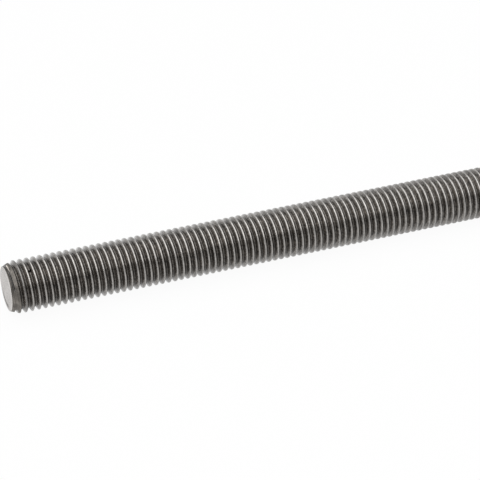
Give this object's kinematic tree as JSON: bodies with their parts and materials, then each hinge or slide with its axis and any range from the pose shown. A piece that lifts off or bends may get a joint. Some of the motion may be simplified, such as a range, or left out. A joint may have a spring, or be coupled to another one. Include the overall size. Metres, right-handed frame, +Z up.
{
  "type": "threaded rod",
  "caption": "Straight steel rod with a coarse right-handed metric thread from end to end and chamfered, plainly cut ends.",
  "frame": {"origin": "centre of the near end face, on the rod's axis", "axes": "+X along the rod, from the near end face to the far one; +Z up"},
  "size_m": [0.16, 0.0156, 0.0156],
  "materials": {
    "steel": "bare rolled steel, lightly oiled"
  },
  "bodies": {
    "root": {"threaded_rod": "steel"}
  },
  "joints": []
}
